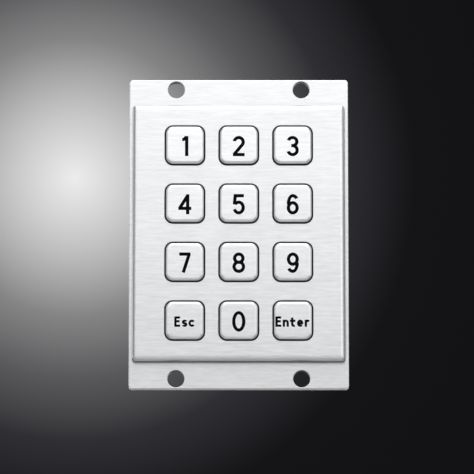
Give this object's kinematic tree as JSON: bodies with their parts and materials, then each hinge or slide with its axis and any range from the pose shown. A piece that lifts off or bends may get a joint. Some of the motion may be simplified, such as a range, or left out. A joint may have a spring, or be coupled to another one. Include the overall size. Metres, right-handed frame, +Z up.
{
  "type": "panel-mount metal keypad",
  "caption": "Panel-mount stainless keypad: raised face plate with a grid of square push keys on a flat flange with corner mounting holes and a shallow rear cover.",
  "frame": {"origin": "centre of the four mounting holes, on the flange's rear land", "axes": "+X to the right as seen from the front, +Y backwards into the panel, +Z up; the keys face -Y"},
  "size_m": [0.077, 0.025, 0.1094],
  "materials": {
    "brushed_stainless": "horizontal brushed grain, satin",
    "brushed_stainless_key": "fine horizontal brushed grain with black filled engraving",
    "black_rubber": "matte closed-cell rubber",
    "stainless_fastener": "turned stainless",
    "silicone": "matte translucent grey silicone",
    "carbon_rubber": "conductive carbon rubber",
    "circuit_board": "green solder mask on glass epoxy",
    "gold_plating": "gold flash over nickel",
    "black_plastic": "moulded black plastic",
    "tinned_lead": "tin plated",
    "resistor_ceramic": "black glass coat on ceramic",
    "capacitor_ceramic": "tan ceramic",
    "crystal_can": "drawn nickel-plated can",
    "nickel_brass": "nickel-plated brass",
    "zinc_sheet": "zinc-plated sheet steel",
    "zinc_fastener": "bright zinc plate"
  },
  "bodies": {
    "housing": {"mounting_flange": "brushed_stainless", "face_gasket": "black_rubber", "face_panel": "brushed_stainless", "panel_screws": "stainless_fastener", "keymat": "silicone", "pcb": "circuit_board", "contact_pads": "gold_plating", "header_strip": "black_plastic", "header_pins": "gold_plating", "controller_chip": "black_plastic", "chip_leads": "tinned_lead", "resistors": "resistor_ceramic", "capacitors": "capacitor_ceramic", "crystal": "crystal_can", "weld_studs": "stainless_fastener", "standoffs": "nickel_brass", "rear_cover": "zinc_sheet", "cover_washers": "zinc_fastener", "cover_screws": "zinc_fastener", "dome_1": "silicone", "dome_2": "silicone", "dome_3": "silicone", "dome_4": "silicone", "dome_5": "silicone", "dome_6": "silicone", "dome_7": "silicone", "dome_8": "silicone", "dome_9": "silicone", "dome_esc": "silicone", "dome_0": "silicone", "dome_enter": "silicone"},
    "button_1": {"key_1": "brushed_stainless_key", "pill_1": "carbon_rubber"},
    "button_2": {"key_2": "brushed_stainless_key", "pill_2": "carbon_rubber"},
    "button_3": {"key_3": "brushed_stainless_key", "pill_3": "carbon_rubber"},
    "button_4": {"key_4": "brushed_stainless_key", "pill_4": "carbon_rubber"},
    "button_5": {"key_5": "brushed_stainless_key", "pill_5": "carbon_rubber"},
    "button_6": {"key_6": "brushed_stainless_key", "pill_6": "carbon_rubber"},
    "button_7": {"key_7": "brushed_stainless_key", "pill_7": "carbon_rubber"},
    "button_8": {"key_8": "brushed_stainless_key", "pill_8": "carbon_rubber"},
    "button_9": {"key_9": "brushed_stainless_key", "pill_9": "carbon_rubber"},
    "button_esc": {"key_esc": "brushed_stainless_key", "pill_esc": "carbon_rubber"},
    "button_0": {"key_0": "brushed_stainless_key", "pill_0": "carbon_rubber"},
    "button_enter": {"key_enter": "brushed_stainless_key", "pill_enter": "carbon_rubber"}
  },
  "joints": [
    {"name": "key_1_press", "type": "slide", "parent": "housing", "child": "button_1", "axis": [0, 1, 0], "range_m": [0, 0.001], "stiffness_N_per_m": 2500, "deforming": ["dome_1"]},
    {"name": "key_2_press", "type": "slide", "parent": "housing", "child": "button_2", "axis": [0, 1, 0], "range_m": [0, 0.001], "stiffness_N_per_m": 2500, "deforming": ["dome_2"]},
    {"name": "key_3_press", "type": "slide", "parent": "housing", "child": "button_3", "axis": [0, 1, 0], "range_m": [0, 0.001], "stiffness_N_per_m": 2500, "deforming": ["dome_3"]},
    {"name": "key_4_press", "type": "slide", "parent": "housing", "child": "button_4", "axis": [0, 1, 0], "range_m": [0, 0.001], "stiffness_N_per_m": 2500, "deforming": ["dome_4"]},
    {"name": "key_5_press", "type": "slide", "parent": "housing", "child": "button_5", "axis": [0, 1, 0], "range_m": [0, 0.001], "stiffness_N_per_m": 2500, "deforming": ["dome_5"]},
    {"name": "key_6_press", "type": "slide", "parent": "housing", "child": "button_6", "axis": [0, 1, 0], "range_m": [0, 0.001], "stiffness_N_per_m": 2500, "deforming": ["dome_6"]},
    {"name": "key_7_press", "type": "slide", "parent": "housing", "child": "button_7", "axis": [0, 1, 0], "range_m": [0, 0.001], "stiffness_N_per_m": 2500, "deforming": ["dome_7"]},
    {"name": "key_8_press", "type": "slide", "parent": "housing", "child": "button_8", "axis": [0, 1, 0], "range_m": [0, 0.001], "stiffness_N_per_m": 2500, "deforming": ["dome_8"]},
    {"name": "key_9_press", "type": "slide", "parent": "housing", "child": "button_9", "axis": [0, 1, 0], "range_m": [0, 0.001], "stiffness_N_per_m": 2500, "deforming": ["dome_9"]},
    {"name": "key_esc_press", "type": "slide", "parent": "housing", "child": "button_esc", "axis": [0, 1, 0], "range_m": [0, 0.001], "stiffness_N_per_m": 2500, "deforming": ["dome_esc"]},
    {"name": "key_0_press", "type": "slide", "parent": "housing", "child": "button_0", "axis": [0, 1, 0], "range_m": [0, 0.001], "stiffness_N_per_m": 2500, "deforming": ["dome_0"]},
    {"name": "key_enter_press", "type": "slide", "parent": "housing", "child": "button_enter", "axis": [0, 1, 0], "range_m": [0, 0.001], "stiffness_N_per_m": 2500, "deforming": ["dome_enter"]}
  ]
}
